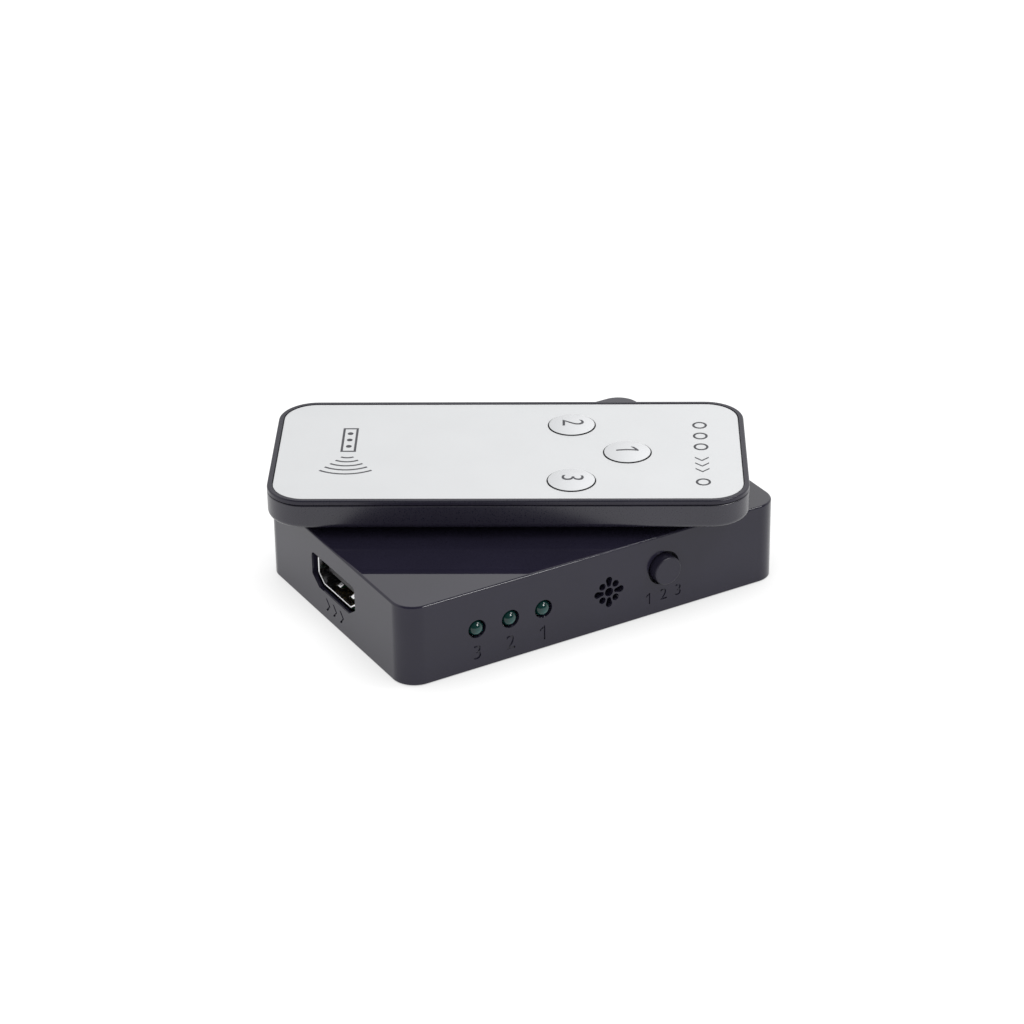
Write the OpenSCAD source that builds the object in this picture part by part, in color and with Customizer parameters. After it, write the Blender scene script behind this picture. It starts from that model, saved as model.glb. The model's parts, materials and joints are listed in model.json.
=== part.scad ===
// Three-way video switch box with its card remote lying across the top.
// Millimetres. The origin is the middle of the box's underside: X runs along the front,
// Y from the front to the back, Z up.

/* [Box] */
// Length of the box along its front
box_l = 77.8; // [77.4:0.2:84]
// Depth of the box from front to back
box_w = 52.6; // [52:0.2:60]
// Height of the box
box_h = 15.6; // [15:0.1:18]
// Radius of the box's upright corners
box_corner_r = 4.3; // [3.6:0.1:5]
// Rounding of the top edge
box_edge_r = 0.4; // [0.3:0.1:0.8]
// Thickness of the side walls
wall = 1.8; // [1.6:0.1:2]
// Thickness of the roof
roof = 1.6; // [1.2:0.1:2]
// Wall left in front of each socket
port_wall = 0.8; // [0.7:0.1:1.1]
// Thickness of the bottom cover
cover_t = 1.8; // [1.6:0.1:2.2]
// Gap round the bottom cover
cover_gap = 0.15; // [0.1:0.05:0.3]
// Height of the tub's rim above the cover's underside
rim_lift = 0.2; // [0.1:0.05:0.4]

/* [Board and screws] */
// Height of the board's upper face
board_top = 6; // [5.7:0.1:6.4]
// Thickness of the board
board_t = 1.6; // [1.2:0.1:1.8]
// Gap between the board and the walls
board_gap = 0.5; // [0.3:0.1:0.8]
// Distance of the screws from the outer faces
screw_inset = 6.2; // [5.8:0.1:6.4]
// Radius of the screw bosses
boss_r = 2.4; // [2.2:0.1:2.6]
// Radius of a screw's shank
screw_r = 0.9; // [0.8:0.05:1]
// Radius of a screw's head
screw_head_r = 1.7; // [1.5:0.1:1.8]
// Height of a screw's head
screw_head_h = 1.1; // [0.9:0.1:1.2]
// Length of thread in a boss
screw_grip = 5; // [4:0.5:6]

/* [Video sockets] */
// Width of the cut-out in the wall
port_w = 16.3; // [15.8:0.1:16.8]
// Height of the cut-out in the wall
port_h = 6.3; // [5.9:0.1:6.6]
// Outside width of a socket's steel shell
socket_w = 14.6; // [14.2:0.1:15]
// Outside height of a socket's steel shell
socket_h = 5.15; // [4.95:0.05:5.4]
// Depth of a socket
socket_d = 11.5; // [10.5:0.1:12.5]
// Sheet thickness of the shell
shell_t = 0.4; // [0.3:0.05:0.45]
// How far the mouth lies behind the wall's outer face
mouth_set = 0.7; // [0.5:0.05:0.8]
// Width of the tongue that carries the contacts
tongue_w = 10.9; // [10.6:0.1:11.2]
// Thickness of the tongue
tongue_t = 1.3; // [1:0.1:1.5]
// How far the tongue's tip lies behind the mouth
tongue_set = 1.4; // [1:0.1:2]
// Place of the output along the left wall
output_y = -0.2; // [-2:0.1:2]
// Distance of the outer inputs from the box's ends
input_end = 16.9; // [16.8:0.1:18]

/* [Front panel] */
// Distance of the left indicator from the box's left end
led_end = 14.4; // [14:0.1:16]
// Distance between the indicators
led_pitch = 6.7; // [5:0.1:7.2]
// Height of the indicators above the board
led_lift = 2; // [2:0.1:2.6]
// Radius of an indicator's lens
led_r = 1.5; // [1.3:0.1:1.5]
// Gap round an indicator's lens
led_gap = 0.25; // [0.15:0.05:0.3]
// How far a lens stands out of the front
led_proud = 0.5; // [0.2:0.1:0.9]
// Distance of the receiver's grille from the select button
grille_step = 11.5; // [10.5:0.1:12.5]
// Height of the grille above the board
grille_lift = 1.4; // [1.2:0.1:2.4]
// Radius of the grille over its long slots
grille_r = 3.05; // [2.8:0.05:3.2]
// Distance of the select button from the box's right end
button_end = 25; // [24:0.1:26]
// Height of the select button above the board
button_lift = 3; // [2.8:0.1:3.4]
// Radius of the select button's cap
button_r = 2.7; // [2.5:0.05:2.8]
// Gap round the select button's cap
button_gap = 0.55; // [0.4:0.05:0.6]
// How far the select button stands out of the front
button_proud = 1.6; // [1.2:0.1:1.8]
// Travel of the select button
button_travel = 0.4; // [0.2:0.05:0.5]

/* [Supply inlet] */
// Place of the supply inlet along the right wall
inlet_y = 0; // [-4:0.5:4]
// Radius of the inlet's bore
inlet_bore_r = 1.85; // [1.7:0.05:2]
// Radius of the inlet's centre pin
inlet_pin_r = 0.6; // [0.5:0.05:0.7]

/* [Remote] */
// Length of the remote
remote_l = 86; // [84:0.2:92]
// Width of the remote
remote_w = 40; // [39.2:0.2:44]
// Thickness of the remote
remote_t = 7.4; // [7.3:0.1:8.6]
// Radius of the remote's corners
remote_corner_r = 7; // [6.8:0.2:8]
// Radius of the curve at the remote's lower edge
remote_side_r = 1; // [0.9:0.1:1.4]
// Inset of the remote's lower edge
remote_edge_in = 0.9; // [0.7:0.1:0.9]
// Height of the remote's lower edge
remote_edge_z = 1.8; // [1.4:0.1:1.8]
// Width of the slope under the remote's lower edge
remote_slope = 4.6; // [4.2:0.1:4.7]
// Height of the upper frame above the seam
frame_h = 1; // [0.9:0.05:1.3]
// Width of the rim round the face
frame_rim = 0.9; // [0.8:0.1:1.4]
// Wall of the remote's lower shell
remote_wall = 1.2; // [1:0.1:1.4]
// Floor of the remote's lower shell
remote_floor = 1; // [0.8:0.1:1]
// Thickness of the face plate
face_t = 0.5; // [0.4:0.05:0.55]
// How far the face lies below the rim
face_set = 0.1; // [0.05:0.05:0.2]
// Place of the remote's middle along the box
remote_x = 0.2; // [-3:0.1:3]
// Place of the remote's middle across the box
remote_y = 4.4; // [-3:0.1:6]
// Turn of the remote on the box, in degrees
remote_turn = -31.6; // [-45:0.1:0]

/* [Keys] */
// Radius of a key's opening
key_hole_r = 4.45; // [4.2:0.05:4.6]
// Gap round a key
key_gap = 0.25; // [0.15:0.05:0.3]
// Height of a key's edge above the face
key_proud = 0.15; // [0.05:0.01:0.3]
// Extra height of a key's crown
key_crown = 0.5; // [0.2:0.05:0.6]
// Travel of a key
key_travel = 0.35; // [0.2:0.05:0.35]
// Distance of the first key from the remote's middle
key_1_u = 21.4; // [20:0.1:24]
// Distance of the second and third keys from the remote's middle
key_2_u = 11.3; // [10:0.1:13]
// Line through the first key, across the remote
key_line_v = -0.9; // [-2:0.1:1]
// Half the distance between the second and third keys
key_spread = 11.1; // [10.6:0.1:11.6]

/* [Battery] */
// Radius of the coin cell
cell_r = 10; // [10:0.5:10]
// Thickness of the coin cell
cell_t = 2.5; // [2:0.1:2.5]
// Width of the battery tray
tray_w = 24; // [23.4:0.2:25]
// Length of the battery tray
tray_l = 30; // [29:0.5:32]
// Floor of the battery tray
tray_floor = 0.5; // [0.4:0.05:0.5]

/* [Hidden] */
$fn = 64;
cut = 1;
bite = 0.2;
back_y = box_w / 2;
left_x = -box_l / 2;
right_x = box_l / 2;

// Box: the tub's inside and the screw places
inner_l = box_l - 2 * wall;
inner_w = box_w - 2 * wall;
inner_r = box_corner_r - wall;
ceiling_z = box_h - roof;
board_under = board_top - board_t;
screw_x = box_l / 2 - screw_inset;
screw_y = box_w / 2 - screw_inset;
thread_gap = 0.02;
screw_gap = 0.2;
screw_sink = 0.3;
screw_tip = 1;
screw_point_r = screw_r / 3;
cross_w = 0.45;
cross_l = 1.4 * screw_head_r;
seat_z = screw_sink + screw_head_h;

// Sockets: the wall pocket that each one slides up into
port_z = board_top + socket_h / 2;
port_chamfer = [2.5, 1.75];
port_corner_r = 1;
socket_chamfer = [2.2, 1.6];
socket_corner_r = 0.6;
pocket_gap = 0.5;
pocket_w = socket_w + 2 * pocket_gap;
pocket_top = board_top + socket_h + pocket_gap;
insert_gap = 0.05;
insert_d = 3.5;
tongue_lift = 0.35;
tongue_end = socket_d - insert_d;
contact_w = 0.4;
contact_t = 0.15;
contact_pitch = 1;
contact_set = 0.4;
contact_back = 0.2;
contact_l = tongue_end - tongue_set - contact_set - contact_back;
contacts_above = 10;
contacts_below = 9;
finger_x = 2.45;
finger_w = 1.5;
finger_start = 1.5;
finger_end = 6;
finger_rise = 0.5;
finger_bend = 0.7;
finger_side = 0.2;
finger_nib = 0.1;
finger_bevel = 0.3;
leg_w = 1.4;
leg_gap = 0.15;
leg_stub = 0.4;
leg_places = [2.9, 8.9];
input_pitch = box_l / 2 - input_end;
INPUTS = [1, 0, -1];

// Front panel: indicators, grille, button and the parts behind them
led_x = left_x + led_end;
led_z = board_top + led_lift;
led_lap = 0.15;
led_flange_r = led_r + led_gap + led_lap;
led_flange_t = 1;
lead_w = 0.5;
lead_run = 3;
lead_spread = 1.27;
wall_play = 0.1;
button_x = right_x - button_end;
grille_x = button_x - grille_step;
grille_z = board_top + grille_lift;
grille_hub_r = 0.85;
grille_web = 0.2;
grille_short_cut = 0.45;
grille_short_r = grille_r - grille_short_cut;
grille_short_start = grille_hub_r + 2 * grille_web;
grille_slot_out = 0.66;
grille_slot_in = 0.42;
receiver_size = [5.4, 3, 6.4];
receiver_lens_r = 1.9;
receiver_lens_l = 0.6;
receiver_set = 2.6;
receiver_legs = 3;
receiver_leg_pitch = 1.6;
receiver_leg = [0.6, 0.3, 2.6];
notch_gap = 0.3;
button_z = board_top + button_lift;
button_edge_r = 0.8;
button_lap = 0.65;
button_flange_r = button_r + button_gap + button_lap;
button_flange_t = 0.8;
button_back = box_w / 2 - wall - wall_play - button_flange_t;
plunger_r = 1.7;
plunger_reach = 1.2;
plunger_hold = 0.5;
plunger_gap = 0.3;
tact_w = 6;
tact_d = 3.6;
tact_front = button_back - plunger_reach;

// Supply inlet
inlet_size = [8.5, 6.2, 5.2];
inlet_z = board_top + inlet_size[2] / 2;
inlet_depth = 7.4;
inlet_pin_set = 0.6;
inlet_hole_r = 2.45;
inlet_set = 1;
inlet_mouth_x = right_x - inlet_set;

// Chips on the main board
switch_chip_at = [-7, -3];
switch_chip_size = [10, 10, 1.2];
control_chip_at = [14, -4.5];
control_chip_size = [4, 8, 1.4];
regulator_at = [25.5, -12];
regulator_size = [6.5, 3.5, 1.6];
chip_lead = [0.3, 0.9, 0.15];
chip_lead_rise = 0.5;
chip_lift = 0.1;
switch_lead_pitch = 0.9;
control_lead_pitch = 1.27;
remote_lead_pitch = 0.8;
regulator_tab = [3, 1.6, 0.3];
regulator_leg = [0.7, 1.6, 0.3];
regulator_leg_pitch = 2.3;
capacitor_size = [1.6, 0.8, 0.8];
capacitor_pitch = 3;
// A row of capacitors behind each chip: the chip's place, the row's distance, how many
CAPACITOR_ROWS = [[switch_chip_at, 8.5, 4], [control_chip_at, 7, 3], [regulator_at, 5.5, 3]];

// Remote: heights above the box's roof
seam_z = remote_t - frame_h;
shelf_z = remote_t - face_set - face_t;
key_flange_t = 0.35;
key_play = 0.05;
dome_sheet = 0.15;
key_room = key_travel + key_flange_t + key_play + dome_sheet;
remote_board_t = 0.8;
remote_board_top = seam_z - key_room;
remote_board_under = remote_board_top - remote_board_t;
remote_board_gap = 0.6;
frame_edge_r = 0.25;
seam_gap = 0.2;
seam_in = 0.35;
seam_r = 0.2;
side_z = remote_edge_z + sqrt(remote_edge_in * (2 * remote_side_r - remote_edge_in));
margin = remote_wall + remote_edge_in + remote_slope;
skirt_gap = 0.1;
skirt_t = 0.8;
skirt_h = key_room - dome_sheet;
face_gap = 0.2;
remote_inner_l = remote_l - 2 * remote_wall;
remote_inner_w = remote_w - 2 * remote_wall;
remote_inner_r = remote_corner_r - remote_wall;
remote_board_w = remote_inner_w - 2 * remote_board_gap;

// Keys and the snap domes under them
KEYS = [
    [key_1_u, key_line_v],
    [key_2_u, key_line_v + key_spread],
    [key_2_u, key_line_v - key_spread],
];
key_r = key_hole_r - key_gap;
key_lap = 0.55;
key_flange_r = key_hole_r + key_lap;
key_flange_top = seam_z - key_play;
key_edge_z = remote_t - face_set + key_proud;
key_crown_r = (key_r * key_r + key_crown * key_crown) / (2 * key_crown);
dome_r = 3.6;
dome_h = key_flange_top - key_flange_t - remote_board_top;
crown_fn = 720;

// Battery tray, its rails and its contacts
tray_gap = 0.3;
tray_play = 0.1;
tray_z = remote_floor + tray_play;
cell_gap = 0.15;
cell_z = tray_z + tray_floor;
tray_top = cell_z + cell_t;
cell_back = 4;
tray_back = -remote_l / 2 + tray_l;
cell_u = tray_back - cell_back - cell_r;
tray_nose = 4.4;
rail_t = 1;
rail_past = 2;
rail_start = -remote_l / 2 + margin - cut / 2;
rail_l = tray_back + rail_past - rail_start;
rest_u = 30;
leaf_w = 4;
leaf_t = 0.2;
leaf_l = 6;
leaf_gap = 0.1;
leaf_side_gap = 0.35;
sender_r = 1.2;
sender_gap = 0.15;
sender_room = 0.1;
sender_z = remote_board_under - sender_r - sender_room;
sender_l = 4;
sender_set = 0.3;
sender_bend = 1;
remote_chip_at = [-4, 3];
remote_chip_size = [5, 4, 0.7];

// Four places at the corners of a rectangle
module at_corners(x, y) {
    for (sx = [-1, 1], sy = [-1, 1]) translate([sx * x, sy * y, 0]) children();
}

// Half outline of a slab's edge, rounded above
module edge_profile(reach, h, top_r) {
    union() {
        square([reach, h - top_r]);
        if (top_r > 0) {
            translate([0, h - top_r]) square([reach - top_r, top_r]);
            intersection() {
                translate([reach - top_r, h - top_r]) circle(top_r);
                translate([reach - top_r, h - top_r]) square([top_r, top_r]);
            }
        }
    }
}

// Slab with round upright corners, its edge swept from the half outline given
module swept_slab(l, w, h, r) {
    x = l / 2 - r;
    y = w / 2 - r;
    union() {
        translate([-x, -y, 0]) cube([2 * x, 2 * y, h]);
        for (turn = [0, 180]) rotate([0, 0, turn]) {
            translate([x, y, 0]) rotate([90, 0, 0])
                linear_extrude(2 * y) children();
            translate([x, y, 0]) rotate_extrude(angle = 90) children();
            translate([-x, y, 0]) rotate([0, 0, 90]) rotate_extrude(angle = 90) children();
            translate([-x, y, 0]) rotate([90, 0, 90]) linear_extrude(2 * x) children();
        }
    }
}

// Slab with a rounded top edge
module slab(l, w, h, r, top_r = 0) {
    swept_slab(l, w, h, r) edge_profile(r, h, top_r);
}

// D-shaped outline of a socket: round upper corners, cut lower corners
module socket_outline(w, h, chamfer, r, inset = 0) {
    slant = norm(chamfer);
    share = 1 - inset * (chamfer[0] + chamfer[1] - slant) / (chamfer[0] * chamfer[1]);
    a = w / 2 - inset;
    b = h / 2 - inset;
    round_r = r - inset;
    cx = chamfer[0] * share;
    cz = chamfer[1] * share;
    union() {
        polygon([
            [-a, b - round_r], [-a, cz - b], [cx - a, -b],
            [a - cx, -b], [a, cz - b], [a, b - round_r],
        ]);
        translate([round_r - a, b - round_r]) square([2 * (a - round_r), round_r]);
        for (s = [-1, 1]) intersection() {
            translate([s * (a - round_r), b - round_r]) circle(round_r);
            translate([s * (a - round_r / 2), b - round_r / 2]) square(round_r, center = true);
        }
    }
}

// Prism that runs back from a socket's mouth: start and length along the depth
module along_depth(start, l) {
    translate([0, start + l, 0]) rotate([90, 0, 0]) linear_extrude(l) children();
}

// Places of the four sockets, each with its mouth at the local origin
module at_output() {
    translate([left_x + mouth_set, output_y, port_z]) rotate([0, 0, -90]) children();
}

module at_input(i) {
    translate([INPUTS[i] * input_pitch, back_y - mouth_set, port_z])
        rotate([0, 0, 180]) children();
}

module at_sockets() {
    at_output() children();
    for (i = [0 : 2]) at_input(i) children();
}

// The supply inlet's mouth is at its local origin, the depth runs along local Y
module at_inlet() {
    translate([inlet_mouth_x, inlet_y, inlet_z]) rotate([0, 0, 90]) children();
}

// A place on the front: local Z points out of the front face
module at_front(x, z) {
    translate([x, 0, z]) rotate([90, 0, 0]) children();
}

// The remote as it lies on the box's roof
module on_roof() {
    translate([remote_x, remote_y, box_h]) rotate([0, 0, remote_turn]) children();
}

// Opening through a wall for a socket, with the pocket behind it
module port_opening() {
    along_depth(-mouth_set - cut, 2 * cut + wall)
        socket_outline(port_w, port_h, port_chamfer, port_corner_r);
    translate([-pocket_w / 2, port_wall - mouth_set, -port_z - cut])
        cube([pocket_w, wall, pocket_top + cut]);
}

// Opening through the right wall for the supply plug
module inlet_opening() {
    pocket = inlet_size[1] + 2 * pocket_gap;
    translate([0, wall + cut - inlet_set, 0]) rotate([90, 0, 0])
        cylinder(h = wall + 2 * cut, r = inlet_hole_r);
    translate([-pocket / 2, port_wall - inlet_set, -inlet_z - cut])
        cube([pocket, wall, board_top + inlet_size[2] + pocket_gap + cut]);
}

// One slot of the grille: narrow towards the hub, round at both ends
module grille_slot(start, end) {
    a = start + grille_slot_in;
    b = end - grille_slot_out;
    translate([a, 0]) circle(grille_slot_in);
    translate([b, 0]) circle(grille_slot_out);
    polygon([
        [a, -grille_slot_in], [b, -grille_slot_out], [b, grille_slot_out], [a, grille_slot_in],
    ]);
}

// Sunburst of slots that lets the infrared through
module grille_pattern() {
    circle(grille_hub_r);
    for (turn = [0 : 90 : 270]) {
        rotate(turn) grille_slot(grille_hub_r + grille_web, grille_r);
        rotate(turn + 45) grille_slot(grille_short_start, grille_short_r);
    }
}

// Everything that pierces the front wall
module front_openings() {
    from = inner_w / 2 - cut;
    through = wall + 2 * cut;
    for (i = [0 : 2]) at_front(led_x + i * led_pitch, led_z)
        translate([0, 0, from]) cylinder(h = through, r = led_r + led_gap);
    at_front(button_x, button_z)
        translate([0, 0, from]) cylinder(h = through, r = button_r + button_gap);
    at_front(grille_x, grille_z)
        translate([0, 0, from]) linear_extrude(through) grille_pattern();
}

// Tub: roof and four walls in one moulding, with bosses for the screws
module top_cover() {
    color("#3f3d42") difference() {
        union() {
            difference() {
                translate([0, 0, rim_lift])
                    slab(box_l, box_w, box_h - rim_lift, box_corner_r, box_edge_r);
                translate([0, 0, -cut]) slab(inner_l, inner_w, ceiling_z + cut, inner_r);
            }
            at_corners(screw_x, screw_y) translate([0, 0, board_top])
                cylinder(h = ceiling_z - board_top, r = boss_r);
        }
        at_corners(screw_x, screw_y) translate([0, 0, board_top - cut])
            cylinder(h = screw_grip + 2 * cut, r = screw_r + thread_gap);
        at_sockets() port_opening();
        at_inlet() inlet_opening();
        front_openings();
    }
}

// Tab of the bottom cover that closes the foot of a wall pocket
module cover_tab(w, local_z, set) {
    tab_w = w - 2 * cover_gap;
    translate([-tab_w / 2, port_wall + cover_gap - set, -local_z])
        cube([tab_w, wall, cover_t]);
}

// Bottom cover: plate inside the tub's rim, with posts that carry the board
module bottom_cover() {
    color("#38363b") difference() {
        union() {
            slab(inner_l - 2 * cover_gap, inner_w - 2 * cover_gap, cover_t, inner_r - cover_gap);
            at_sockets() cover_tab(pocket_w, port_z, mouth_set);
            at_inlet() cover_tab(inlet_size[1] + 2 * pocket_gap, inlet_z, inlet_set);
            at_corners(screw_x, screw_y) cylinder(h = board_under, r = boss_r);
        }
        at_corners(screw_x, screw_y) {
            translate([0, 0, -cut]) cylinder(h = seat_z + cut, r = screw_head_r + screw_gap);
            translate([0, 0, -cut]) cylinder(h = board_top, r = screw_r + screw_gap);
        }
    }
}

// Self-tapping screws, head down, each with a cross recess
module cover_screws() {
    cross_d = screw_head_h / 2;
    shank_l = board_top + screw_grip - seat_z - screw_tip;
    color("#8d8d90") at_corners(screw_x, screw_y) difference() {
        union() {
            translate([0, 0, screw_sink]) cylinder(h = screw_head_h, r = screw_head_r);
            translate([0, 0, seat_z]) cylinder(h = shank_l, r = screw_r);
            translate([0, 0, seat_z + shank_l])
                cylinder(h = screw_tip, r1 = screw_r, r2 = screw_point_r);
        }
        for (turn = [0, 90]) rotate([0, 0, turn]) translate([-cross_l / 2, -cross_w / 2, 0])
            cube([cross_l, cross_w, screw_sink + cross_d]);
    }
}

// Circuit board, notched for the button and the receiver, slotted for the sockets' legs
module main_board() {
    receiver_notch = receiver_size[0] + 2 * notch_gap;
    button_notch = 2 * (button_flange_r + notch_gap);
    receiver_reach = box_w / 2 - receiver_set - receiver_size[1] - notch_gap;
    button_reach = tact_front + notch_gap;
    slot = [shell_t + 2 * leg_gap, leg_w + 2 * leg_gap, board_t + 2 * cut];
    color("#1e5a38") difference() {
        translate([0, 0, board_under])
            slab(inner_l - 2 * board_gap, inner_w - 2 * board_gap, board_t, inner_r - board_gap);
        at_corners(screw_x, screw_y) translate([0, 0, board_under - cut])
            cylinder(h = board_t + 2 * cut, r = screw_r + screw_gap);
        translate([grille_x - receiver_notch / 2, -box_w / 2, board_under - cut])
            cube([receiver_notch, box_w / 2 - receiver_reach, board_t + 2 * cut]);
        translate([button_x - button_notch / 2, -box_w / 2, board_under - cut])
            cube([button_notch, box_w / 2 - button_reach, board_t + 2 * cut]);
        at_sockets() for (s = [-1, 1], y = leg_places)
            translate([s * (socket_w - shell_t) / 2 - slot[0] / 2, y - leg_gap,
                       board_under - cut - port_z])
                cube(slot);
    }
}

// Spring finger pressed out of the shell's floor, bent up into the mouth
module spring_finger() {
    root = -socket_h / 2;
    tip = finger_start + finger_side;
    w = finger_w - 2 * finger_side;
    translate([-w / 2, 0, 0]) rotate([90, 0, 90]) linear_extrude(w)
        polygon([
            [finger_end + bite, root], [finger_end + bite, root + shell_t],
            [finger_end, root + shell_t], [tip + finger_bend, root + shell_t + finger_rise],
            [tip, root + shell_t], [tip, root + finger_nib],
            [tip + finger_bend, root + finger_rise], [finger_end - finger_bevel, root],
        ]);
}

// Folded steel shell of a socket, with spring fingers in its floor and roof
module socket_shell() {
    color("#c9cacc") union() {
        difference() {
            along_depth(0, socket_d) difference() {
                socket_outline(socket_w, socket_h, socket_chamfer, socket_corner_r);
                socket_outline(socket_w, socket_h, socket_chamfer, socket_corner_r, shell_t);
            }
            for (s = [-1, 1]) translate([s * finger_x - finger_w / 2, finger_start, -socket_h])
                cube([finger_w, finger_end - finger_start, 2 * socket_h]);
        }
        for (s = [-1, 1], m = [0, 1]) translate([s * finger_x, 0, 0])
            mirror([0, 0, m]) spring_finger();
        for (s = [-1, 1], y = leg_places)
            translate([s * (socket_w - shell_t) / 2 - shell_t / 2, y,
                       -socket_h / 2 - board_t - leg_stub])
                cube([shell_t, leg_w, socket_h / 2 + board_t + leg_stub]);
    }
}

// Moulded insert: a plug for the shell's rear and the tongue
module socket_insert() {
    color("#17171a") union() {
        along_depth(tongue_end, insert_d) socket_outline(
            socket_w, socket_h, socket_chamfer, socket_corner_r, shell_t + insert_gap);
        along_depth(tongue_set, tongue_end - tongue_set + insert_gap)
            translate([-tongue_w / 2, tongue_lift - tongue_t / 2]) square([tongue_w, tongue_t]);
    }
}

// Row of contact strips on one face of the tongue
module contact_row(count, z) {
    for (i = [0 : count - 1])
        translate([(i - (count - 1) / 2) * contact_pitch - contact_w / 2,
                   tongue_set + contact_set, z])
            cube([contact_w, contact_l, contact_t]);
}

// Nineteen contacts: ten above the tongue and nine below
module socket_contacts() {
    color("#d9b45a") {
        contact_row(contacts_above, tongue_lift + tongue_t / 2);
        contact_row(contacts_below, tongue_lift - tongue_t / 2 - contact_t);
    }
}

// Chip body with a row of bent leads on both long sides, or on all four
module leaded_chip(size, pitch, four_sides) {
    translate([-size[0] / 2, -size[1] / 2, chip_lift])
        cube([size[0], size[1], size[2] - chip_lift]);
    for (turn = four_sides ? [0, 90, 180, 270] : [0, 180]) rotate([0, 0, turn]) {
        reach = (turn % 180 == 0 ? size[0] : size[1]) / 2;
        row = turn % 180 == 0 ? size[1] : size[0];
        count = floor((row - 1) / pitch) + 1;
        for (i = [0 : count - 1])
            translate([reach, (i - (count - 1) / 2) * pitch - chip_lead[0] / 2, 0]) {
                cube([chip_lead[1], chip_lead[0], chip_lead[2]]);
                translate([-bite, 0, 0]) cube([2 * bite, chip_lead[0], chip_lead_rise]);
            }
    }
}

module on_board(at) {
    translate([at[0], at[1], board_top]) children();
}

// Crosspoint switch chip that picks one of the three inputs
module switch_chip() {
    color("#222226") on_board(switch_chip_at) leaded_chip(switch_chip_size, switch_lead_pitch, true);
}

// Controller that reads the button and the remote
module control_chip() {
    color("#222226") on_board(control_chip_at) leaded_chip(control_chip_size, control_lead_pitch, false);
}

// Regulator for the five-volt supply, with its cooling tab
module voltage_regulator() {
    tab = regulator_tab;
    leg = regulator_leg;
    color("#2a2a2e") on_board(regulator_at) {
        translate([-regulator_size[0] / 2, -regulator_size[1] / 2, 0]) cube(regulator_size);
        translate([-tab[0] / 2, regulator_size[1] / 2 - bite, 0]) cube(tab);
        for (i = [-1 : 1])
            translate([i * regulator_leg_pitch - leg[0] / 2,
                       bite - regulator_size[1] / 2 - leg[1], 0])
                cube(leg);
    }
}

// Chip capacitors in a row behind each large chip
module chip_capacitors() {
    color("#9a7f60") for (row = CAPACITOR_ROWS, i = [0 : row[2] - 1])
        on_board(row[0] + [(i - (row[2] - 1) / 2) * capacitor_pitch, row[1]])
            translate([-capacitor_size[0] / 2, -capacitor_size[1] / 2, 0]) cube(capacitor_size);
}

// Round indicator: domed lens, flange behind the wall and two bent leads
module indicator_led(i) {
    flange_z = box_w / 2 - wall - wall_play - led_flange_t;
    dome_z = box_w / 2 + led_proud - led_r;
    color("#0f5a44") at_front(led_x + i * led_pitch, led_z) union() {
        translate([0, 0, flange_z]) cylinder(h = led_flange_t, r = led_flange_r);
        translate([0, 0, flange_z]) cylinder(h = dome_z - flange_z, r = led_r);
        translate([0, 0, dome_z]) intersection() {
            sphere(led_r);
            cylinder(h = led_r + cut, r = led_r + cut);
        }
        for (s = [-1, 1]) translate([s * lead_spread / 2 - lead_w / 2, 0, flange_z - lead_run]) {
            translate([0, -lead_w / 2, 0]) cube([lead_w, lead_w, lead_run + lead_w]);
            translate([0, -led_lift, 0]) cube([lead_w, led_lift, lead_w]);
        }
    }
}

module indicator_led_1() { indicator_led(2); }
module indicator_led_2() { indicator_led(1); }
module indicator_led_3() { indicator_led(0); }

// Infrared receiver: block with a round lens towards the grille, three legs on the board
module ir_receiver() {
    face = box_w / 2 - receiver_set;
    leg = receiver_leg;
    color("#141418") at_front(grille_x, grille_z) union() {
        translate([-receiver_size[0] / 2, -receiver_size[2] / 2, face - receiver_size[1]])
            cube([receiver_size[0], receiver_size[2], receiver_size[1]]);
        translate([0, 0, face - cut]) cylinder(h = receiver_lens_l + cut, r = receiver_lens_r);
        for (i = [0 : receiver_legs - 1])
            translate([(i - (receiver_legs - 1) / 2) * receiver_leg_pitch - leg[0] / 2,
                       -grille_lift, face - receiver_size[1] - leg[2]])
                cube([leg[0], leg[1], leg[2] + bite]);
    }
}

// Push switch on the board behind the select button
module tact_switch() {
    bore = plunger_hold + button_travel + plunger_gap;
    color("#26262a") at_front(button_x, button_z) difference() {
        translate([-tact_w / 2, -button_lift, tact_front - tact_d])
            cube([tact_w, 2 * button_lift, tact_d]);
        translate([0, 0, tact_front - bore])
            cylinder(h = bore + cut, r = plunger_r + plunger_gap);
    }
}

// Plunger of the push switch, against the back of the cap
module tact_plunger() {
    reach = plunger_reach + plunger_hold;
    color("#101012") at_front(button_x, button_z)
        translate([0, 0, button_back - reach]) cylinder(h = reach, r = plunger_r);
}

// Select button: round cap with a soft edge, held by a flange behind the wall
module select_button() {
    color("#3f3d42") at_front(button_x, button_z) union() {
        translate([0, 0, button_back]) cylinder(h = button_flange_t, r = button_flange_r);
        translate([0, 0, button_back]) rotate_extrude()
            edge_profile(button_r, box_w / 2 + button_proud - button_back, button_edge_r);
    }
}

// Barrel inlet for the five-volt supply
module supply_inlet() {
    color("#1b1b1e") at_inlet() difference() {
        translate([-inlet_size[1] / 2, 0, -inlet_size[2] / 2])
            cube([inlet_size[1], inlet_size[0], inlet_size[2]]);
        translate([0, inlet_depth, 0]) rotate([90, 0, 0])
            cylinder(h = inlet_depth + cut, r = inlet_bore_r);
    }
}

// Centre pin of the inlet
module supply_pin() {
    color("#d0cfc8") at_inlet() translate([0, inlet_depth, 0]) rotate([90, 0, 0])
        cylinder(h = inlet_depth - inlet_pin_set, r = inlet_pin_r);
}

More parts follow.
